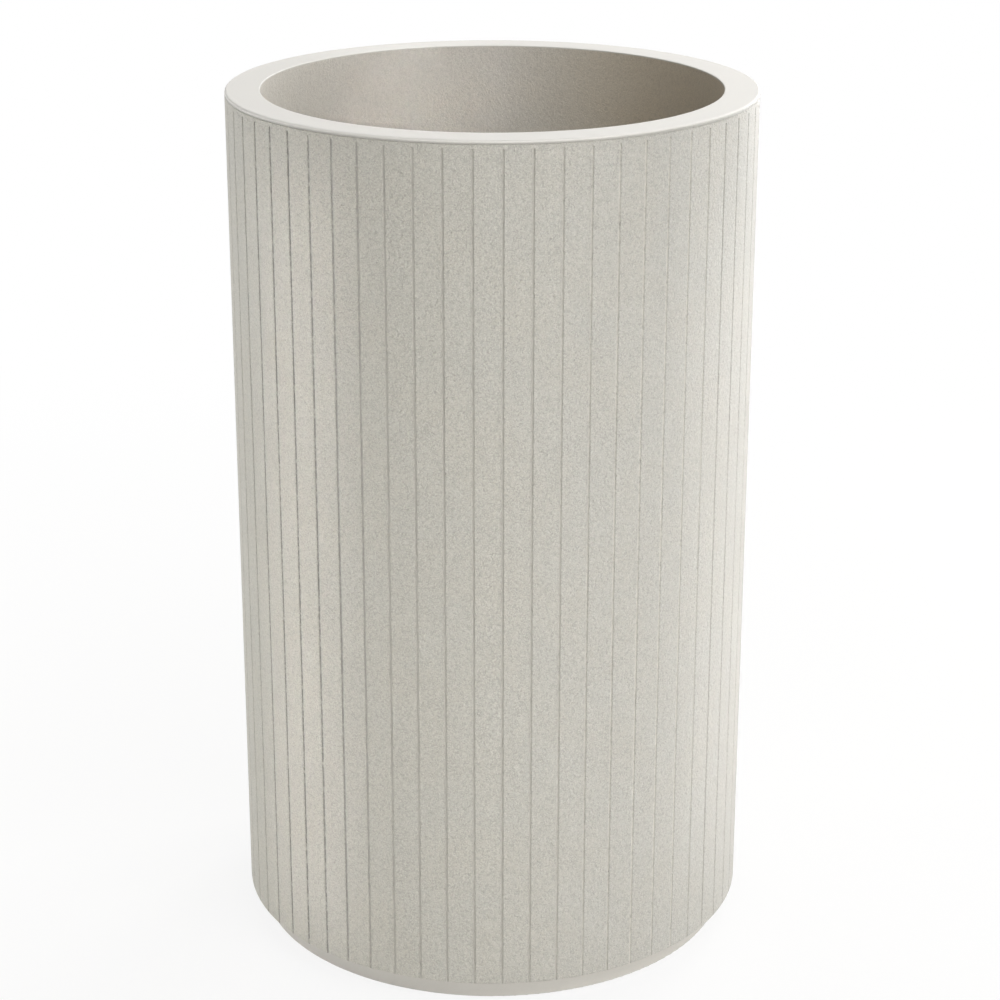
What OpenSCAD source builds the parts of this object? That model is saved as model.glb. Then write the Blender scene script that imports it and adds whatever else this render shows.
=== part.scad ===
// Tall round floor planter: a fluted outer sleeve, an inner pot with a wide flat rim, and a recessed foot.
// Sizes are in millimetres. The planter stands on z = 0 and its axis is the Z axis.

/* [Overall] */
// Outside diameter of the sleeve and of the rim
planter_d = 395; // [350:1:440]
// Height from the ground to the top of the rim
planter_h = 660; // [540:1:760]

/* [Rim] */
// Width of the flat rim, from its outer edge to the mouth
rim_w = 26; // [25:0.5:32]
// Thickness of the rim
rim_t = 2.8; // [2.5:0.1:5]
// Radius of the rim's outer edge
rim_round = 1.6; // [1:0.1:2.2]
// Radius of the rim's inner edge
mouth_round = 0.8; // [0.6:0.1:2]
// Height of the ring under the rim that centres the sleeve
locating_ring_h = 12; // [8:1:20]
// Thickness of that ring
locating_ring_t = 3; // [2:0.5:4]
// Number of gussets under the rim
gusset_count = 24; // [12:1:36]
// Thickness of a gusset
gusset_t = 2.5; // [2:0.5:4]
// Height of a gusset at the pot's wall
gusset_h = 26; // [22:1:40]

/* [Outer sleeve] */
// Wall of the sleeve
sleeve_t = 4.5; // [4:0.1:5.5]
// Number of vertical grooves round the sleeve
groove_count = 60; // [36:1:72]
// Angle from the front to the first groove, in degrees
groove_turn = 2.1; // [0:0.1:6]
// Width of a groove at the surface
groove_w = 2.2; // [1.6:0.1:3]
// Width of a groove at its bottom
groove_floor_w = 0.8; // [0.4:0.1:1.2]
// Depth of a groove
groove_depth = 0.9; // [0.6:0.1:2]
// Distance from the top of the rim down to the grooves' upper ends
groove_top = 6; // [5.8:0.2:20]
// Chamfer on the sleeve's upper edge, which shows as a fine line under the rim
line_chamfer = 0.5; // [0.3:0.1:0.8]
// How far the sleeve's wall reaches down past its flange, over the foot's top
sleeve_drop = 2; // [1:0.5:4]
// Radius of the sleeve's lower edge
lower_round = 1.5; // [0.5:0.1:2.5]
// Thickness of the inward flange at the sleeve's lower end
flange_t = 4; // [3:0.5:5]
// Number of gussets between the sleeve's wall and that flange
brace_count = 12; // [6:1:24]
// Leg of such a gusset
brace_leg = 14; // [8:1:20]
// Thickness of such a gusset
brace_t = 3; // [2:0.5:4]

/* [Inner pot] */
// Wall of the pot
pot_t = 3.5; // [3:0.1:4.5]
// Draft of the pot's wall, in degrees
pot_draft = 1; // [0.5:0.1:1.3]
// Height of the straight wall just below the mouth
mouth_land = 20; // [10:1:40]
// Depth of the ledge that carries the shelf, from the top of the rim
ledge_depth = 300; // [220:5:380]
// Width of the ledge
ledge_w = 8; // [6:0.5:12]
// Thickness of the pot's floor
floor_t = 4; // [3.5:0.5:6]
// Inside radius between the pot's wall and floor
floor_round = 10; // [4:1:16]
// Height of the ribs under the floor
floor_rib_h = 8; // [4:1:9]
// Thickness of those ribs
floor_rib_t = 3; // [2:0.5:4]
// Height of the bosses that the floor stands on
boss_h = 10; // [9.5:0.5:14]
// Diameter of a boss
boss_d = 14; // [12:0.5:16]
// Distance from the floor's edge in to the bosses' axes
boss_inset = 12; // [10:0.5:16]

/* [Foot] */
// Height of the foot, up to the sleeve's flange
foot_h = 19.5; // [17:0.5:26]
// How far the foot lies inside the sleeve's outer face
foot_inset = 12; // [9:0.5:16]
// Wall of the foot
foot_t = 4; // [3:0.5:6]
// Radius of the foot's lower edge
foot_round = 1; // [0.5:0.1:1.4]
// Thickness of the foot's top plate
plate_t = 4; // [3.5:0.5:5]
// Number of ribs under the plate, between the foot's walls
rib_count = 16; // [8:8:32]
// Thickness of those ribs and of the foot's inner wall
rib_t = 2.5; // [2:0.5:4]
// Gap between those ribs and the ground
rib_clearance = 3; // [2:0.5:5]
// Wall of the screw wells under the plate
well_t = 2.5; // [2:0.5:4]

/* [Drain] */
// Distance from the floor's edge in to the drains' axes
drain_inset = 50; // [44:1:60]
// Bore of a drain
drain_d = 16; // [14:0.5:18]
// Wall of a drain spout
spout_t = 3; // [2:0.5:4]
// Length of a drain spout under the floor
spout_h = 25; // [22:0.5:28]
// Diameter of the recess in the floor that takes a plug's head
recess_d = 32; // [30:0.5:36]
// Depth of that recess
recess_depth = 2; // [1:0.5:2.5]

/* [Drain plugs] */
// Diameter of a plug's head
plug_head_d = 27; // [24:0.5:29]
// Thickness of a plug's head
plug_head_t = 3; // [2:0.5:5]
// Radius of the head's upper edge
plug_head_round = 1.5; // [0.5:0.1:1.9]
// Length of a plug's stem
plug_stem = 20; // [14:1:24]
// Number of sealing ribs on the stem
plug_rib_count = 3; // [2:1:4]
// Height of a sealing rib
plug_rib_h = 2.4; // [1.5:0.1:3]
// Height of the slope on a rib's lower side
plug_rib_slope = 1.4; // [0.6:0.1:1.5]
// How far a sealing rib stands out of the stem
plug_rib_out = 0.9; // [0.4:0.1:1.5]
// Diameter of the knob on the head
knob_d = 14; // [11:0.5:18]
// Height of the knob
knob_h = 9; // [6:0.5:12]
// Thickness of the knob's cap, above its neck
knob_cap_t = 4; // [2:0.5:5]
// Diameter of the knob's neck
knob_neck_d = 8; // [5:0.5:10]

/* [Shelf] */
// Thickness of the shelf's plate
shelf_t = 4; // [3:0.5:6]
// Radius of the plate's upper edge
shelf_round = 1.5; // [0.5:0.1:2]
// Height of the skirt that centres the shelf in the pot
skirt_h = 16; // [10:1:24]
// Thickness of the skirt and of the shelf's ribs
shelf_rib_t = 3; // [2:0.5:4]
// Height of the shelf's ribs
shelf_rib_h = 12; // [6:1:16]
// Number of radial ribs, and so of the sectors between them
sector_count = 8; // [6:2:10]
// Diameter of the ring rib at the middle of the shelf
shelf_hub_d = 36; // [26:1:44]
// Diameter of a drain hole
hole_d = 8; // [6:0.5:10]
// Distance from the skirt in to the outermost ring of drain holes
hole_margin = 12; // [9:0.5:16]
// Distance between one ring of drain holes and the next
hole_pitch = 30; // [28:1:34]
// Number of rings of drain holes
hole_rings = 4; // [2:1:4]
// Diameter of a finger hole
finger_d = 32; // [26:1:34]

/* [Screws] */
// Number of screws that hold the foot, the sleeve and the pot together
screw_count = 8; // [4:1:12]
// Diameter of a screw
screw_d = 4; // [3:0.5:5]
// Length of a screw under its head
screw_length = 18; // [15:0.5:18.5]
// Diameter of a screw's head
screw_head_d = 9; // [8:0.5:10]
// Height of a screw's head
screw_head_h = 3; // [2:0.5:3.5]
// Radius of the head's outer edge
screw_head_round = 1.6; // [0.5:0.1:1.8]
// Length of a screw's point
point_length = 4; // [2:0.5:6]
// Diameter of that point's flat end
point_end_d = 1; // [0.5:0.1:1.5]
// Depth of the cross recess in a screw's head
cross_depth = 1.6; // [1:0.1:1.8]
// Width of the arms of that recess
cross_w = 1.2; // [0.8:0.1:1.6]

/* [Clearances] */
// Gap between mouldings that fit into each other
fit_gap = 0.3; // [0.2:0.05:0.6]
// Gap between a plug's sealing ribs and the drain's bore
plug_gap = 0.1; // [0.05:0.01:0.15]
// Gap round the shelf
shelf_gap = 1.5; // [1:0.1:2.5]
// Gap round a screw's head in its well
well_gap = 1; // [0.5:0.1:1.5]
// Gap between a screw and its pilot hole
thread_gap = 0.05; // [0.02:0.01:0.1]

/* [Hidden] */
$fn = 120;
// Cutters run this far past the faces that they cut, and joined solids this far into each other
skin = 1;
// Plugs are separate pieces, so their number is that of their nodes
drain_count = 4;

stone = [0.80, 0.78, 0.74];
pale_stone = [0.86, 0.85, 0.81];
dark_plastic = [0.30, 0.30, 0.29];
rubber = [0.12, 0.12, 0.12];
steel = [0.70, 0.71, 0.72];

// Levels, from the ground up
z_plate_under = foot_h - plate_t;
z_flange = foot_h + flange_t;
z_floor_under = z_flange + boss_h;
z_floor = z_floor_under + floor_t;
z_recess = z_floor - recess_depth;
// The pot's wall is upright beside the floor's round and leans out above it
z_draft = z_floor + floor_round;
z_ledge = planter_h - ledge_depth;
z_rim_under = planter_h - rim_t;
z_sleeve = foot_h - sleeve_drop;
z_groove_top = planter_h - groove_top;

// Radii, from the outside in
r_out = planter_d / 2;
r_sleeve_in = r_out - sleeve_t;
r_ring_out = r_sleeve_in - fit_gap;
r_ring_in = r_ring_out - locating_ring_t;
r_foot = r_out - foot_inset;
r_mouth = r_out - rim_w;
r_ledge = r_mouth - (ledge_depth - mouth_land) * tan(pot_draft);
r_lower = r_ledge - ledge_w;
r_floor = r_lower - (z_ledge - z_draft) * tan(pot_draft);
r_screws = r_floor - boss_inset;
r_drains = r_floor - drain_inset;
r_flange_in = r_screws - boss_d / 2 - rib_t;
r_spout = drain_d / 2 + spout_t;

// The shelf's radii, from the outside in
r_shelf = r_ledge - shelf_gap;
r_skirt = r_lower - shelf_gap - skirt_h * tan(pot_draft);
r_skirt_in = r_skirt - shelf_rib_t;
r_holes = r_skirt_in - hole_margin;
r_fingers = r_holes - hole_pitch;
r_finger_rib = r_fingers - finger_d / 2 - shelf_rib_t;

// Height of the ribs under the foot's plate, and the outside radius of the screws' wells between them
foot_rib_h = z_plate_under - rib_clearance;
r_well = screw_head_d / 2 + well_gap + well_t;

pilot_depth = screw_length - plate_t - flange_t + skin;
groove_slope = (groove_w - groove_floor_w) / (2 * groove_depth);
// Screws and drains lie between the ribs
screw_turn = 180 / screw_count;
drain_turn = 180 / drain_count;
sector = 360 / sector_count;

// Copies of a piece on a circle, the first at the angle turn
module around(count, r, turn = 0) {
    for (i = [0:count - 1])
        rotate(turn + i * 360 / count)
            translate([r, 0, 0])
                children();
}

// A ring of rectangular section
module ring(r_outer, r_inner, z, h) {
    translate([0, 0, z])
        rotate_extrude()
            translate([r_inner, 0])
                square([r_outer - r_inner, h]);
}

// An upright plate along a radius, from r_from to r_to
module web(r_from, r_to, z, h, t) {
    translate([r_from, -t / 2, z])
        cube([r_to - r_from, t, h]);
}

// Flat bars right across a circle of radius r, evenly turned about its centre
module bars_across(count, r, t) {
    for (i = [0:count - 1])
        rotate(i * 180 / count)
            square([2 * r, t], center = true);
}

// An upright plate along a radius with the given outline in radius and height
module gusset(points, t) {
    translate([0, t / 2, 0])
        rotate([90, 0, 0])
            linear_extrude(t)
                polygon(points);
}

// What a round of radius r takes off a square corner. out and up are 1 or -1 and point at the corner.
module corner_waste(corner, r, out, up) {
    translate([corner.x - out * r, corner.y - up * r])
        difference() {
            translate([out > 0 ? 0 : -r - skin, up > 0 ? 0 : -r - skin])
                square(r + skin);
            circle(r);
        }
}

// The sleeve: a straight grooved wall with a flange at its lower end, which the foot's screws hold
module outer_sleeve() {
    color(stone)
        difference() {
            rotate(groove_turn) {
                rotate_extrude()
                    sleeve_section();
                around(brace_count, 0)
                    sleeve_brace();
            }
            around(groove_count, 0, groove_turn - 90)
                groove();
            around(screw_count, r_screws, screw_turn)
                translate([0, 0, foot_h - skin])
                    cylinder(h = flange_t + 2 * skin, r = screw_d / 2 + fit_gap);
        }
}

module sleeve_section() {
    difference() {
        translate([r_flange_in, z_sleeve])
            square([r_out - r_flange_in, z_rim_under - z_sleeve]);
        translate([r_flange_in - skin, z_flange])
            square([r_sleeve_in - r_flange_in + skin, z_rim_under]);
        translate([r_flange_in - skin, z_sleeve - skin])
            square([r_sleeve_in - r_flange_in + skin, sleeve_drop + skin]);
        corner_waste([r_out, z_sleeve], lower_round, 1, -1);
        polygon([
            [r_out - line_chamfer, z_rim_under],
            [r_out + skin, z_rim_under - line_chamfer - skin],
            [r_out + skin, z_rim_under + skin],
            [r_out - line_chamfer, z_rim_under + skin]
        ]);
    }
}

// One groove, open at the sleeve's lower edge
module groove() {
    mouth = groove_w + 2 * groove_slope * skin;
    translate([0, 0, z_sleeve - skin])
        linear_extrude(z_groove_top - z_sleeve + skin)
            polygon([
                [r_out - groove_depth, -groove_floor_w / 2],
                [r_out + skin, -mouth / 2],
                [r_out + skin, mouth / 2],
                [r_out - groove_depth, groove_floor_w / 2]
            ]);
}

module sleeve_brace() {
    gusset([
        [r_sleeve_in - brace_leg, z_flange - skin],
        [r_sleeve_in + skin, z_flange - skin],
        [r_sleeve_in + skin, z_flange + brace_leg],
        [r_sleeve_in, z_flange + brace_leg],
        [r_sleeve_in - brace_leg, z_flange]
    ], brace_t);
}

// The pot: its rim covers the sleeve's upper edge and its floor stands on bosses on the sleeve's flange
module rim_pot() {
    color(pale_stone)
        difference() {
            union() {
                rotate_extrude()
                    pot_section();
                around(gusset_count, 0)
                    rim_gusset();
                around(drain_count, r_drains, drain_turn)
                    translate([0, 0, z_floor_under - spout_h])
                        cylinder(h = spout_h + skin, r = r_spout);
                around(screw_count, r_screws, screw_turn)
                    translate([0, 0, z_flange])
                        cylinder(h = boss_h + skin, r = boss_d / 2);
                around(screw_count, 0, screw_turn)
                    web(0, r_screws, z_floor_under - floor_rib_h, floor_rib_h + skin, floor_rib_t);
            }
            around(drain_count, r_drains, drain_turn) {
                translate([0, 0, z_floor_under - spout_h - skin])
                    cylinder(h = floor_t + spout_h + 2 * skin, r = drain_d / 2);
                translate([0, 0, z_recess])
                    cylinder(h = recess_depth + skin, r = recess_d / 2);
            }
            around(screw_count, r_screws, screw_turn)
                translate([0, 0, z_flange - skin])
                    cylinder(h = pilot_depth + skin, r = screw_d / 2 + thread_gap);
        }
}

module pot_section() {
    difference() {
        union() {
            pot_outside();
            translate([r_mouth, z_rim_under])
                square([rim_w, rim_t]);
            translate([r_ring_in, z_rim_under - locating_ring_h])
                square([locating_ring_t, locating_ring_h + skin]);
        }
        pot_inside();
        corner_waste([r_out, planter_h], rim_round, 1, 1);
        corner_waste([r_mouth, planter_h], mouth_round, -1, 1);
    }
}

module pot_inside() {
    difference() {
        polygon([
            [0, z_floor],
            [r_floor, z_floor],
            [r_floor, z_draft],
            [r_lower, z_ledge],
            [r_ledge, z_ledge],
            [r_mouth, planter_h - mouth_land],
            [r_mouth, planter_h + skin],
            [0, planter_h + skin]
        ]);
        corner_waste([r_floor, z_floor], floor_round, 1, -1);
    }
}

module pot_outside() {
    difference() {
        polygon([
            [0, z_floor_under],
            [r_floor + pot_t, z_floor_under],
            [r_floor + pot_t, z_draft],
            [r_lower + pot_t, z_ledge - pot_t],
            [r_ledge + pot_t, z_ledge - pot_t],
            [r_mouth + pot_t, planter_h - mouth_land],
            [r_mouth + pot_t, planter_h - rim_t / 2],
            [0, planter_h - rim_t / 2]
        ]);
        corner_waste([r_floor + pot_t, z_floor_under], floor_round, 1, -1);
    }
}

// Ties the pot's wall to the ring that centres the sleeve
module rim_gusset() {
    gusset([
        [r_mouth + pot_t - skin, z_rim_under + skin],
        [r_mouth + pot_t - skin, z_rim_under - gusset_h],
        [r_ring_in + skin, z_rim_under - locating_ring_h],
        [r_ring_in + skin, z_rim_under + skin]
    ], gusset_t);
}

// The foot: a ring with two walls that stand on the ground, under a plate that carries the sleeve's flange. The drains
// open into its middle.
module foot_base() {
    color(stone)
        difference() {
            union() {
                rotate_extrude()
                    foot_section();
                translate([0, 0, rib_clearance])
                    linear_extrude(foot_rib_h + skin)
                        foot_rib_plan();
            }
            around(screw_count, r_screws, screw_turn) {
                translate([0, 0, -skin])
                    cylinder(h = z_plate_under + skin, r = screw_head_d / 2 + well_gap);
                translate([0, 0, -skin])
                    cylinder(h = foot_h + 2 * skin, r = screw_d / 2 + fit_gap);
            }
        }
}

module foot_section() {
    difference() {
        translate([r_flange_in, 0])
            square([r_foot - r_flange_in, foot_h]);
        translate([r_flange_in + rib_t, -skin])
            square([r_foot - foot_t - r_flange_in - rib_t, z_plate_under + skin]);
        corner_waste([r_foot, 0], foot_round, 1, -1);
    }
}

// The ribs between the foot's walls and the wells round the screws, seen from above
module foot_rib_plan() {
    around(rib_count, r_flange_in + rib_t / 2)
        translate([0, -rib_t / 2])
            square([r_foot - foot_t / 2 - r_flange_in - rib_t / 2, rib_t]);
    around(screw_count, r_screws, screw_turn)
        circle(r_well);
}

// The shelf: a ribbed plate with drain holes that rests on the pot's ledge and lifts out by two finger holes
module planting_shelf() {
    color(dark_plastic)
        difference() {
            union() {
                rotate_extrude()
                    shelf_section();
                ring(r_skirt, r_skirt_in, z_ledge - skirt_h, skirt_h + skin);
                translate([0, 0, z_ledge - shelf_rib_h])
                    linear_extrude(shelf_rib_h + skin)
                        shelf_rib_plan();
            }
            for (i = [0:hole_rings - 1])
                drain_holes(i);
            around(2, r_fingers, sector / 2)
                shelf_hole(finger_d);
        }
}

module shelf_section() {
    difference() {
        translate([0, z_ledge])
            square([r_shelf, shelf_t]);
        corner_waste([r_shelf, z_ledge + shelf_t], shelf_round, 1, 1);
    }
}

// The ribs under the shelf, seen from above: straight ones and a ring inside the finger holes, round an open hub
module shelf_rib_plan() {
    difference() {
        union() {
            bars_across(sector_count / 2, r_skirt - skin, shelf_rib_t);
            circle(d = shelf_hub_d);
            difference() {
                circle(r_finger_rib);
                circle(r_finger_rib - shelf_rib_t);
            }
        }
        circle(shelf_hub_d / 2 - shelf_rib_t);
    }
}

module shelf_hole(d) {
    translate([0, 0, z_ledge - skin])
        cylinder(h = shelf_t + 2 * skin, d = d);
}

// Ring i counts inwards. A sector has one hole fewer in it than in the ring outside it. In the second ring, two
// sectors have a finger hole instead.
module drain_holes(i) {
    in_sector = max(1, 4 - i);
    for (s = [0:sector_count - 1])
        if (!(i == 1 && (s == 0 || s == sector_count / 2)))
            for (j = [1:in_sector])
                rotate(s * sector + j * sector / (in_sector + 1))
                    translate([r_holes - i * hole_pitch, 0, 0])
                        shelf_hole(hole_d);
}

// A soft plug in a drain: a ribbed stem, a head in the floor's recess and a waisted knob to pull it by
module drain_plug() {
    color(rubber)
        rotate_extrude()
            plug_section();
}

module plug_section() {
    r_stem = drain_d / 2 - plug_gap - plug_rib_out;
    rib_pitch = plug_stem / plug_rib_count;
    z_head = z_recess + plug_head_t;
    translate([0, z_recess - plug_stem])
        square([r_stem, plug_stem + skin]);
    for (i = [0:plug_rib_count - 1])
        translate([0, z_recess - plug_stem + i * rib_pitch + (rib_pitch - plug_rib_h) / 2])
            plug_rib(r_stem);
    difference() {
        translate([0, z_recess])
            square([plug_head_d / 2, plug_head_t]);
        corner_waste([plug_head_d / 2, z_head], plug_head_round, 1, 1);
    }
    translate([0, z_head - skin])
        square([knob_neck_d / 2, knob_h]);
    translate([0, z_head + knob_h - knob_cap_t])
        plug_knob_cap();
}

// A sealing rib, sloped on its lower side so that it slips into the bore
module plug_rib(r_stem) {
    r_rib = r_stem + plug_rib_out;
    polygon([[0, 0], [r_stem, 0], [r_rib, plug_rib_slope], [r_rib, plug_rib_h], [0, plug_rib_h]]);
}

module plug_knob_cap() {
    cap_round = knob_cap_t * 0.4;
    difference() {
        square([knob_d / 2, knob_cap_t]);
        corner_waste([knob_d / 2, 0], cap_round, 1, -1);
        corner_waste([knob_d / 2, knob_cap_t], cap_round, 1, 1);
    }
}

module placed_plug(i) {
    rotate(drain_turn + (i - 1) * 360 / drain_count)
        translate([r_drains, 0, 0])
            drain_plug();
}

// The screws go up through the foot and the sleeve's flange into the pot's bosses
module base_screws() {
    color(steel)
        around(screw_count, r_screws, screw_turn)
            screw();
}

module screw() {
    translate([0, 0, z_plate_under]) {
        difference() {
            rotate_extrude()
                screw_head_section();
            for (turn = [0, 90])
                rotate(turn)
                    translate([-screw_head_d / 4, -cross_w / 2, -screw_head_h - skin])
                        cube([screw_head_d / 2, cross_w, cross_depth + skin]);
        }
        translate([0, 0, -screw_head_h / 2])
            cylinder(h = screw_head_h / 2 + screw_length - point_length, d = screw_d);
        translate([0, 0, screw_length - point_length])
            cylinder(h = point_length, d1 = screw_d, d2 = point_end_d);
    }
}

module screw_head_section() {
    difference() {
        translate([0, -screw_head_h])
            square([screw_head_d / 2, screw_head_h]);
        corner_waste([screw_head_d / 2, -screw_head_h], screw_head_round, 1, -1);
    }
}

outer_sleeve();
rim_pot();
foot_base();
planting_shelf();
placed_plug(1);  // drain_plug_1
placed_plug(2);  // drain_plug_2
placed_plug(3);  // drain_plug_3
placed_plug(4);  // drain_plug_4
base_screws();
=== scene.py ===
"""The looks of a tall round floor planter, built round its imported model.

Lengths are in metres and angles in degrees.
"""

import math

import bpy
from mathutils import Euler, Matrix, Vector


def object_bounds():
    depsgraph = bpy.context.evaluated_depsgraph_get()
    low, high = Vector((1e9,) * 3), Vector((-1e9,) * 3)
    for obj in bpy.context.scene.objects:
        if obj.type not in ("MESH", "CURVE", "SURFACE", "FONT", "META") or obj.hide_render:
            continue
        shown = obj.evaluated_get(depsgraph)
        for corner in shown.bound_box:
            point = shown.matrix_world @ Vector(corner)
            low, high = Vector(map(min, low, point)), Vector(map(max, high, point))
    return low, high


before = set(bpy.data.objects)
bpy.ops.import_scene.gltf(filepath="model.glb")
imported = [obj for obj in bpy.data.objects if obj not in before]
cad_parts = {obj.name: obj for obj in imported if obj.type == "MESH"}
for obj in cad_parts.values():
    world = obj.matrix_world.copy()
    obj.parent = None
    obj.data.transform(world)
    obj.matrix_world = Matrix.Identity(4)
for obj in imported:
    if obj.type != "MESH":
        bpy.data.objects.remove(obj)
CAD_BOX = [list(corner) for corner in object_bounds()]
TOP = CAD_BOX[1][2]
RADIUS = CAD_BOX[1][0]
RIM_WIDTH = 0.026

# Camera, as the photograph's perspective gives it
CAMERA_DISTANCE = 1.9008
CAMERA_ABOVE_RIM = 0.3563
CAMERA_PITCH = 19.75
FOCAL_WIDTHS = 2.58
FRAME_SHIFT = 0.0077
SENSOR = 36

# Radius that a mould leaves on an edge that the solid shows as sharp
EDGE_ROUND = 0.0004


class Tree:
    """Short calls for one material's nodes. Coordinates are the object's own, so the pattern rides with the piece."""

    def __init__(self, name):
        self.material = bpy.data.materials.new(name)
        self.material.use_nodes = True
        self.nodes = self.material.node_tree.nodes
        self.links = self.material.node_tree.links
        self.shader = self.nodes["Principled BSDF"]
        self.place = self.node("ShaderNodeTexCoord").outputs["Object"]

    def node(self, kind, settings=None, **inputs):
        made = self.nodes.new(kind)
        for key, value in (settings or {}).items():
            setattr(made, key, value)
        for key, value in inputs.items():
            self.feed(made.inputs[key.replace("_", " ").title()], value)
        return made

    def feed(self, socket, value):
        if isinstance(value, bpy.types.NodeSocket):
            self.links.new(value, socket)
        else:
            socket.default_value = value

    def noise(self, size, detail=2.0, roughness=0.5, swirl=0.0):
        """Soft noise from 0 to 1 whose lumps are about size across. Swirl bends them into strings."""
        made = self.node("ShaderNodeTexNoise", scale=1 / size, detail=detail, roughness=roughness, distortion=swirl)
        self.feed(made.inputs["Vector"], self.place)
        return made.outputs["Fac"]

    def cells(self, size):
        """Distance from the middle of cells that are about size across."""
        made = self.node("ShaderNodeTexVoronoi", scale=1 / size)
        self.feed(made.inputs["Vector"], self.place)
        return made.outputs["Distance"]

    def along(self, axis):
        """Place along X, which runs from left to right, Y, which runs from front to back, or Z."""
        split = self.node("ShaderNodeSeparateXYZ")
        self.feed(split.inputs[0], self.place)
        return split.outputs[axis]

    def radius(self):
        """Distance from the planter's axis."""
        flat = self.node("ShaderNodeVectorMath", {"operation": "MULTIPLY"})
        self.feed(flat.inputs[0], self.place)
        self.feed(flat.inputs[1], (1, 1, 0))
        length = self.node("ShaderNodeVectorMath", {"operation": "LENGTH"})
        self.feed(length.inputs[0], flat.outputs[0])
        return length.outputs["Value"]

    def math(self, operation, a, b):
        made = self.node("ShaderNodeMath", {"operation": operation})
        self.feed(made.inputs[0], a)
        self.feed(made.inputs[1], b)
        return made.outputs[0]

    def spread(self, value, low, high, to_low=0.0, to_high=1.0):
        """Value from low to high, stretched smoothly to run from to_low to to_high."""
        made = self.node("ShaderNodeMapRange", {"interpolation_type": "SMOOTHSTEP"})
        for key, number in (("Value", value), ("From Min", low), ("From Max", high)):
            self.feed(made.inputs[key], number)
        made.inputs["To Min"].default_value = to_low
        made.inputs["To Max"].default_value = to_high
        return made.outputs["Result"]

    def blend(self, share, a, b):
        """Colour a where share is 0 and b where it is 1."""
        made = self.node("ShaderNodeMix", {"data_type": "RGBA"})
        self.feed(made.inputs["Factor"], share)
        self.feed(made.inputs["A"], a if isinstance(a, bpy.types.NodeSocket) else (*a, 1))
        self.feed(made.inputs["B"], b if isinstance(b, bpy.types.NodeSocket) else (*b, 1))
        return made.outputs["Result"]

    def stain(self, colour, base, stained):
        """The colour, turned as base would have to be turned to become stained."""
        made = self.node("ShaderNodeMix", {"data_type": "RGBA", "blend_type": "MULTIPLY"}, factor=1.0)
        self.feed(made.inputs["A"], colour)
        self.feed(made.inputs["B"], (*(new / old for new, old in zip(stained, base)), 1))
        return made.outputs["Result"]

    def soft_edge(self):
        """The face's direction, turned near a sharp edge as on a rounded one."""
        made = self.node("ShaderNodeBevel", {"samples": 4}, radius=EDGE_ROUND)
        return made.outputs["Normal"]

    def bump(self, height, depth, normal):
        """Relief of the given depth where height runs from 0 to 1."""
        made = self.node("ShaderNodeBump", height=height, distance=depth, normal=normal)
        return made.outputs["Normal"]

    def finish(self, colour, roughness, normal, gloss=0.5):
        self.shader.inputs["Specular IOR Level"].default_value = gloss
        self.feed(self.shader.inputs["Base Color"], colour)
        self.feed(self.shader.inputs["Roughness"], roughness)
        self.feed(self.shader.inputs["Normal"], normal)
        return self.material


# Colours of the plastics, as linear light: the sleeve, the inner wall and the painted warm shade it turns to on the
# right, the rim's top, painted paler as painted light, its edge, painted darker as painted shade, and the foot
STONE = (0.466, 0.450, 0.407)
INNER_STONE = (0.64, 0.61, 0.55)
WARM_SHADE_STONE = (0.62, 0.54, 0.42)
LIT_TOP_STONE = (0.763, 0.742, 0.698)
SHADED_EDGE_STONE = (0.40, 0.388, 0.355)
FOOT_STONE = (0.51, 0.49, 0.45)

# Colours of the shelf, the plugs and the screws with their stains. The photograph doesn't show these pieces.
SHELF_GREY = (0.075, 0.075, 0.072)
PLUG_BLACK = (0.018, 0.018, 0.018)
STEEL = (0.62, 0.62, 0.61)
DULL_STEEL = (0.40, 0.37, 0.31)

# Strength of the stone-like grain: how dark its hollows are painted, as painted shade, how light its sand is, and how
# deep both are
COARSE = {"dark": 0.85, "light": 1.14, "swell_depth": 0.0012, "lump_depth": 0.0008, "sand_depth": 0.0003}
FINE = {"dark": 0.90, "light": 1.08, "swell_depth": 0.0004, "lump_depth": 0.0005, "sand_depth": 0.00015}

# Sizes of what the grain and the smooth plastic are made of
SWELL_SIZE = 0.0042
LUMP_SIZE = 0.0022
SAND_SIZE = 0.0010
PIT_SPACING = 0.004
CLOUD_SIZE = 0.045
SPECKLE_SIZE = 0.0011
SPECKLE_DEPTH = 0.00004
SMOOTH_CLOUD_SIZE = 0.06

# Shades, as a share of the face's own colour: in a grained face's pits, painted shade on the mouth's lip, dulling the
# highlight on its rounding, and on the foot, painted shade on its left and painted light on its right
PIT_SHADE = 0.82
MOUTH_PAINTED_SHADE = 0.62
FOOT_PAINTED_SHADE = 0.94
FOOT_PAINTED_LIGHT = 1.07

# Painted shade and painted light in the grooves: how deep under the wall's face it is full and where it ends, the
# size of its patches, its shade at the left edge, and the stretches of X over which it turns to the next shade
GROOVE_SHADE_FULL = 0.0007
GROOVE_SHADE_ENDS = 0.0001
GROOVE_SHADE_PATCH = 0.004
GROOVE_SHADE_LEFT = 0.82
GROOVE_SHADE_TURNS = ((-0.195, -0.165, 0.48), (-0.15, -0.06, 1.0), (0.0, 0.12, 1.24), (0.13, 0.17, 0.90))

# How far under the rim's top the grain is full, and where it ends. Inside the mouth and on the right both lie this
# much higher, as painted shade over the rounding's highlight.
GRAIN_FULL = 0.0023
GRAIN_ENDS = 0.0007
SHADE_RISE = 0.0006

# How far under the rim's top the painted shade on the lip starts, and where it is full
MOUTH_SHADE_STARTS = 0.0012
MOUTH_SHADE_FULL = 0.0007

# How far the inner wall turns to its painted warm shade on the right
WARM_SHADE_SHARE = 0.85

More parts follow.
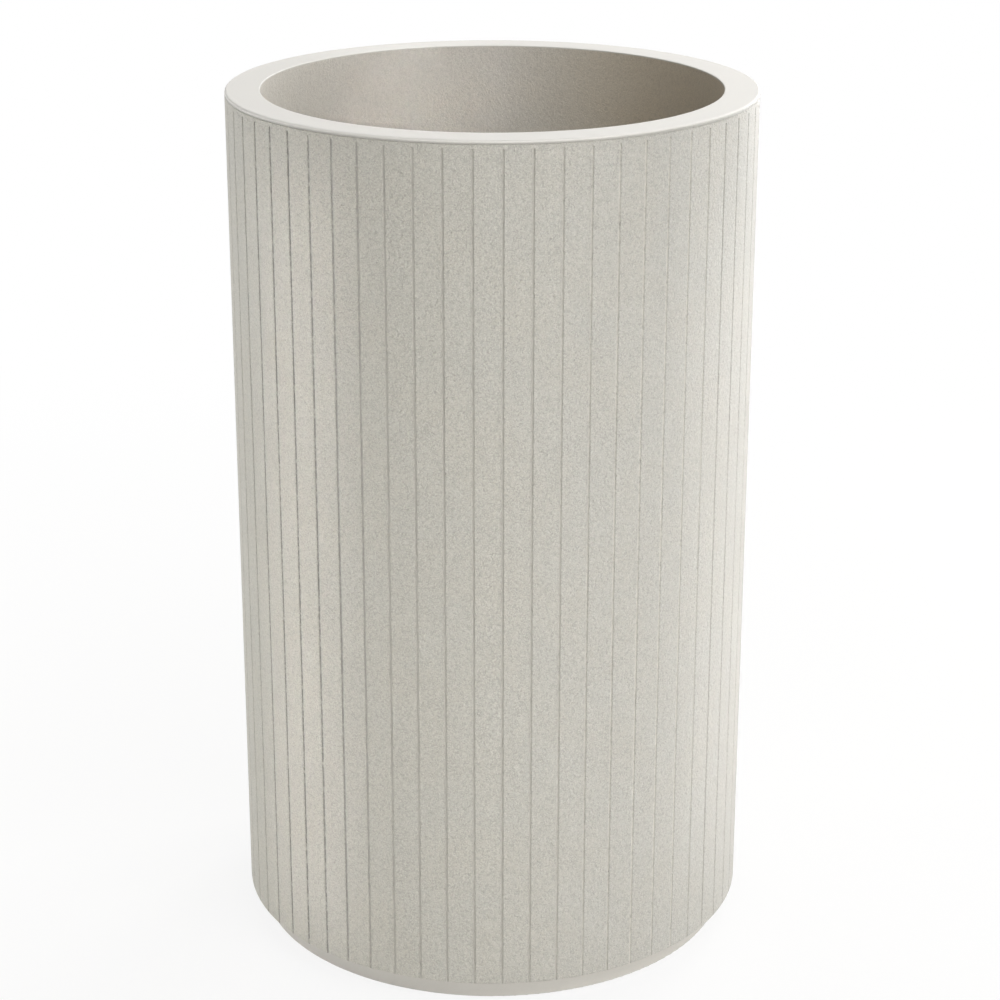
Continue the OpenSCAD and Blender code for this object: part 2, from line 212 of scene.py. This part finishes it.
# How glossy the sleeve and the pot are, and the roughness of their grain and of the smooth plastic
SLEEVE_GLOSS = 0.3
POT_GLOSS = 0.35
GRAIN_ROUGHNESS = (0.38, 0.50)
SATIN_ROUGHNESS = (0.48, 0.58)


def shade(colour, factor):
    """The colour, lighter or darker by the factor."""
    return tuple(min(1.0, channel * factor) for channel in colour)


def tint(colour, red, blue):
    """The colour with its red and its blue turned up or down."""
    return (colour[0] * red, colour[1], colour[2] * blue)


def stone_grain(tree, base, grain):
    """Colour, roughness and relief of the grained face: lumps with sand between them, and soft clouds of colour."""
    lumps = tree.noise(LUMP_SIZE, 3.0, 0.65, 1.0)
    sand = tree.noise(SAND_SIZE, 2.0, 0.5)
    clouds = tree.noise(CLOUD_SIZE, 3.0, 0.55)
    pits = tree.cells(PIT_SPACING)
    colour = tree.blend(tree.spread(clouds, 0.3, 0.7), tint(base, 1.012, 0.985), tint(base, 0.99, 1.015))
    # Painted shade: the grain's hollows, where the relief is low, are darker
    colour = tree.blend(tree.spread(lumps, 0.56, 0.4), colour, shade(base, grain["dark"]))
    colour = tree.blend(tree.spread(sand, 0.48, 0.66), colour, shade(base, grain["light"]))
    colour = tree.blend(tree.spread(pits, 0.12, 0.05), colour, shade(base, PIT_SHADE))
    relief = tree.bump(tree.noise(SWELL_SIZE, 2.0, 0.5, 1.2), grain["swell_depth"], tree.soft_edge())
    relief = tree.bump(lumps, grain["lump_depth"], relief)
    relief = tree.bump(sand, grain["sand_depth"], relief)
    return colour, tree.spread(lumps, 0.3, 0.7, *GRAIN_ROUGHNESS), relief


def smooth_face(tree, base, speck):
    """Colour, roughness and relief of a satin face with the finest of speckle, whose specks are shade speck."""
    speckle = tree.noise(SPECKLE_SIZE, 2.0, 0.5)
    cloud = tree.noise(SMOOTH_CLOUD_SIZE, 3.0, 0.5)
    colour = tree.blend(tree.spread(cloud, 0.3, 0.7), shade(base, 0.985), shade(base, 1.01))
    colour = tree.blend(tree.spread(speckle, 0.5, 0.8, 0.0, 0.5), colour, shade(base, speck))
    relief = tree.bump(speckle, SPECKLE_DEPTH, tree.soft_edge())
    return colour, tree.spread(cloud, 0.3, 0.7, *SATIN_ROUGHNESS), relief


def grained_plastic():
    """Stone-like plastic, a little warmer on the left and cooler on the right, as painted warm and cool light.

    Its grooves carry painted shade, dark on the left, and painted light, palest right of the middle.
    """
    tree = Tree("grained_plastic")
    colour, roughness, relief = stone_grain(tree, STONE, COARSE)
    across = tree.along("X")
    in_groove = tree.spread(tree.radius(), RADIUS - GROOVE_SHADE_FULL, RADIUS - GROOVE_SHADE_ENDS, 1.0, 0.0)
    patchy = tree.spread(tree.noise(GROOVE_SHADE_PATCH, 3.0, 0.6), 0.28, 0.56)
    # Painted shade in the grooves, darkest on the left, turning to painted light right of the middle
    groove_shade = shade(STONE, GROOVE_SHADE_LEFT)
    for start, end, next_shade in GROOVE_SHADE_TURNS:
        groove_shade = tree.blend(tree.spread(across, start, end), groove_shade, shade(STONE, next_shade))
    # Painted light: the grained colour turns warm on the left and cool on the right
    painted_warm_left = tree.stain(colour, STONE, tint(STONE, 1.0, 0.97))
    painted_cool_right = tree.stain(colour, STONE, tint(STONE, 0.995, 1.012))
    colour = tree.blend(tree.spread(across, -0.19, 0.19), painted_warm_left, painted_cool_right)
    colour = tree.blend(tree.math("MULTIPLY", in_groove, patchy), colour, groove_shade)
    return tree.finish(colour, roughness, relief, SLEEVE_GLOSS)


def foot_plastic():
    """The same plastic from a smooth mould, with painted shade on the left and painted light on the right."""
    tree = Tree("foot_plastic")
    colour, roughness, relief = smooth_face(tree, FOOT_STONE, 0.92)
    # Painted shade on the foot's left and painted light on its right
    painted_shade_left = tree.stain(colour, FOOT_STONE, shade(FOOT_STONE, FOOT_PAINTED_SHADE))
    painted_light_right = tree.stain(colour, FOOT_STONE, shade(FOOT_STONE, FOOT_PAINTED_LIGHT))
    colour = tree.blend(tree.spread(tree.along("X"), -0.10, 0.08), painted_shade_left, painted_light_right)
    return tree.finish(colour, roughness, relief)


def pot_plastic():
    """The pot's plastic: grained on its inner wall and the rim's edge, and smooth on top, where it is painted paler
    as painted light from above.
    """
    tree = Tree("smooth_plastic")
    across = tree.along("X")
    inside = tree.math("LESS_THAN", tree.radius(), RADIUS - RIM_WIDTH / 2)
    colour, roughness, relief = stone_grain(tree, INNER_STONE, FINE)
    # Painted shade: the inner wall turns darker and warmer on its right
    warm_shade = tree.math("MULTIPLY", tree.spread(across, 0.0, 0.15), WARM_SHADE_SHARE)
    colour = tree.blend(warm_shade, colour, tree.stain(colour, INNER_STONE, WARM_SHADE_STONE))
    # Painted shade on the mouth's lip, which dulls the highlight on its rounding
    mouth_painted_shade = tree.spread(tree.along("Z"), TOP - MOUTH_SHADE_STARTS, TOP - MOUTH_SHADE_FULL)
    colour = tree.blend(mouth_painted_shade, colour, shade(INNER_STONE, MOUTH_PAINTED_SHADE))
    # Outside the mouth the rim's edge takes a colour darker than the sleeve's: painted shade over its highlight
    colour = tree.blend(inside, SHADED_EDGE_STONE, colour)
    # Painted shade: inside and on the right the darker colour reaches further up the rim's rounding
    shade_rise_mask = tree.math("MAXIMUM", inside, tree.spread(across, 0.06, 0.16))
    height = tree.math("SUBTRACT", tree.along("Z"), tree.math("MULTIPLY", shade_rise_mask, SHADE_RISE))
    grained = tree.spread(height, TOP - GRAIN_FULL, TOP - GRAIN_ENDS, 1.0, 0.0)
    # Painted light: the smooth top takes a paler colour than the grained faces
    smooth, satin, even = smooth_face(tree, LIT_TOP_STONE, 0.94)
    rough = tree.node("ShaderNodeMix", {"data_type": "FLOAT"})
    tree.feed(rough.inputs["Factor"], grained)
    tree.feed(rough.inputs["A"], satin)
    tree.feed(rough.inputs["B"], roughness)
    # The mix node's inputs 4 and 5 and its output 1 are those for vectors
    turn = tree.node("ShaderNodeMix", {"data_type": "VECTOR"})
    tree.feed(turn.inputs["Factor"], grained)
    tree.feed(turn.inputs[4], even)
    tree.feed(turn.inputs[5], relief)
    return tree.finish(tree.blend(grained, smooth, colour), rough.outputs["Result"], turn.outputs[1], POT_GLOSS)


def shelf_plastic():
    """Dark grey plastic with a fine grain and soft scuffed clouds."""
    tree = Tree("shelf_plastic")
    grain = tree.noise(0.0008, 2.0, 0.5)
    cloud = tree.noise(0.05, 4.0, 0.6)
    colour = tree.blend(tree.spread(cloud, 0.35, 0.7), SHELF_GREY, shade(SHELF_GREY, 1.35))
    relief = tree.bump(grain, 0.00006, tree.soft_edge())
    return tree.finish(colour, tree.spread(cloud, 0.3, 0.7, 0.5, 0.68), relief)


def plug_rubber():
    """Black rubber with a dull bloom."""
    tree = Tree("plug_rubber")
    bloom = tree.noise(0.009, 4.0, 0.6)
    grain = tree.noise(0.0006, 2.0, 0.5)
    colour = tree.blend(tree.spread(bloom, 0.45, 0.75), PLUG_BLACK, shade(PLUG_BLACK, 2.2))
    relief = tree.bump(grain, 0.00005, tree.soft_edge())
    return tree.finish(colour, tree.spread(bloom, 0.3, 0.7, 0.62, 0.8), relief)


def screw_steel():
    """Plain steel with a few dull stains."""
    tree = Tree("screw_steel")
    stain = tree.noise(0.004, 4.0, 0.6)
    colour = tree.blend(tree.spread(stain, 0.45, 0.8), STEEL, DULL_STEEL)
    tree.shader.inputs["Metallic"].default_value = 1.0
    relief = tree.bump(stain, 0.00004, tree.soft_edge())
    return tree.finish(colour, tree.spread(stain, 0.3, 0.7, 0.28, 0.45), relief)


def dress(node, material):
    """The material goes on the node's piece, alone."""
    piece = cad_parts[node]
    piece.data.materials.clear()
    piece.data.materials.append(material)


def dress_all():
    rubber = plug_rubber()
    dress("outer_sleeve", grained_plastic())
    dress("rim_pot", pot_plastic())
    dress("foot_base", foot_plastic())
    dress("planting_shelf", shelf_plastic())
    dress("base_screws", screw_steel())
    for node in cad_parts:
        if node.startswith("drain_plug"):
            dress(node, rubber)


def white_for_camera(tree):
    """A switch that is 1 for camera, glossy and transmission rays, so that these see white and no light is added."""
    path = tree.nodes.new("ShaderNodeLightPath")
    switch = path.outputs["Is Camera Ray"]
    for ray in ("Is Glossy Ray", "Is Transmission Ray"):
        either = tree.nodes.new("ShaderNodeMath")
        either.operation = "MAXIMUM"
        tree.links.new(switch, either.inputs[0])
        tree.links.new(path.outputs[ray], either.inputs[1])
        switch = either.outputs[0]
    return switch


# Share of white that the world lights the planter with
WORLD_LIGHT = 0.02

FLOOR_HALF = 12.0
FLOOR_COLOUR = (0.80, 0.79, 0.77)
# The share of white that the floor shows, under the planter and from this far away on
FLOOR_WHITE_NEAR = 0.86
FLOOR_WHITE_FROM = 1.6


def make_world():
    world = bpy.data.worlds.new("studio")
    world.use_nodes = True
    tree = world.node_tree
    background = tree.nodes["Background"]
    background.inputs["Color"].default_value = (1, 1, 1, 1)
    strength = tree.nodes.new("ShaderNodeMapRange")
    strength.inputs["To Min"].default_value = WORLD_LIGHT
    strength.inputs["To Max"].default_value = 1.0
    tree.links.new(white_for_camera(tree), strength.inputs["Value"])
    tree.links.new(strength.outputs["Result"], background.inputs["Strength"])
    bpy.context.scene.world = world


def make_floor():
    half = FLOOR_HALF
    mesh = bpy.data.meshes.new("floor")
    mesh.from_pydata([(-half, -half, 0), (half, -half, 0), (half, half, 0), (-half, half, 0)], [], [(0, 1, 2, 3)])
    floor = bpy.data.objects.new("floor", mesh)
    bpy.context.scene.collection.objects.link(floor)
    material = bpy.data.materials.new("floor")
    material.use_nodes = True
    tree = material.node_tree
    matt = tree.nodes["Principled BSDF"]
    matt.inputs["Base Color"].default_value = (*FLOOR_COLOUR, 1)
    matt.inputs["Roughness"].default_value = 0.9
    matt.inputs["Specular IOR Level"].default_value = 0.1
    white = tree.nodes.new("ShaderNodeEmission")
    place = tree.nodes.new("ShaderNodeTexCoord")
    away = tree.nodes.new("ShaderNodeVectorMath")
    away.operation = "LENGTH"
    tree.links.new(place.outputs["Object"], away.inputs[0])
    fade = tree.nodes.new("ShaderNodeMapRange")
    fade.interpolation_type = "SMOOTHSTEP"
    fade.inputs["From Min"].default_value = RADIUS
    fade.inputs["From Max"].default_value = FLOOR_WHITE_FROM
    fade.inputs["To Min"].default_value = FLOOR_WHITE_NEAR
    tree.links.new(away.outputs["Value"], fade.inputs["Value"])
    share = tree.nodes.new("ShaderNodeMath")
    share.operation = "MULTIPLY"
    tree.links.new(fade.outputs["Result"], share.inputs[1])
    tree.links.new(white_for_camera(tree), share.inputs[0])
    mix = tree.nodes.new("ShaderNodeMixShader")
    tree.links.new(share.outputs[0], mix.inputs["Fac"])
    tree.links.new(matt.outputs[0], mix.inputs[1])
    tree.links.new(white.outputs[0], mix.inputs[2])
    tree.links.new(mix.outputs[0], tree.nodes["Material Output"].inputs["Surface"])
    floor.data.materials.append(material)


def make_camera():
    data = bpy.data.cameras.new("camera")
    data.sensor_width = SENSOR
    data.lens = SENSOR * FOCAL_WIDTHS
    data.shift_x = FRAME_SHIFT
    data.clip_end = 100
    camera = bpy.data.objects.new("camera", data)
    camera.location = (0, -CAMERA_DISTANCE, TOP + CAMERA_ABOVE_RIM)
    camera.rotation_euler = Euler((math.radians(90 - CAMERA_PITCH), 0, 0))
    bpy.context.scene.collection.objects.link(camera)
    bpy.context.scene.camera = camera


# Each lamp's name, azimuth, elevation, distance, width, height and power, then its beam where that is narrow, and its
# aim where that isn't the planter's middle. The low lamps light the foot, the strips make the bands down the wall,
# and the mouth's beam lights the back of the mouth.
LAMPS = (
    ("front", 0, 14, 2.6, 2.2, 1.6, 22),
    ("front_high", 30, 50, 2.6, 1.4, 1.4, 19.4),
    ("right_high", 60, 40, 2.6, 2.2, 1.4, 17.7),
    ("right", 125, 10, 2.6, 0.6, 1.6, 27.7),
    ("right_back", 150, 14, 2.6, 0.6, 1.6, 23.4),
    ("right_back_high", 150, 50, 2.6, 1.4, 1.4, 20.9),
    ("left_back_high", -150, 50, 2.6, 1.4, 1.4, 13.2),
    ("left", -110, 4, 1.4, 0.4, 0.44, 6.2),
    ("left_low", -50, -11, 1.1, 0.5, 0.2, 2.9),
    ("right_low", 40, -12, 1.1, 0.4, 0.16, 2.6),
    ("right_side_low", 90, -11, 1.1, 0.5, 0.2, 0.7),
    ("left_strip", -46, 0, 0.9, 0.05, 0.6, 0.052, 12),
    ("right_strip", 68, -3, 0.9, 0.08, 0.5, 0.075, 20),
    ("mouth_beam", 25, 45, 1.2, 0.08, 0.03, 0.0135, 8.5, (-0.070, 0.156, TOP - 0.075)),
)


def softbox(name, azimuth, elevation, distance, width, height, power, beam=180, aim=(0, 0, TOP / 2)):
    """A lamp that faces the planter's middle or aim. Azimuth 0 is on the camera's side and 90 on its right."""
    data = bpy.data.lights.new(name, "AREA")
    data.shape = "RECTANGLE"
    data.size = width
    data.size_y = height
    data.energy = power
    data.spread = math.radians(beam)
    lamp = bpy.data.objects.new(name, data)
    turn = math.radians(azimuth)
    lift = math.radians(elevation)
    away = Vector((math.sin(turn) * math.cos(lift), -math.cos(turn) * math.cos(lift), math.sin(lift)))
    lamp.location = Vector(aim) + away * distance
    lamp.rotation_euler = away.to_track_quat("Z", "Y").to_euler()
    lamp.visible_camera = False
    bpy.context.scene.collection.objects.link(lamp)


dress_all()
make_world()
make_floor()
for lamp in LAMPS:
    softbox(*lamp)
make_camera()
bpy.context.scene.view_settings.view_transform = "Standard"
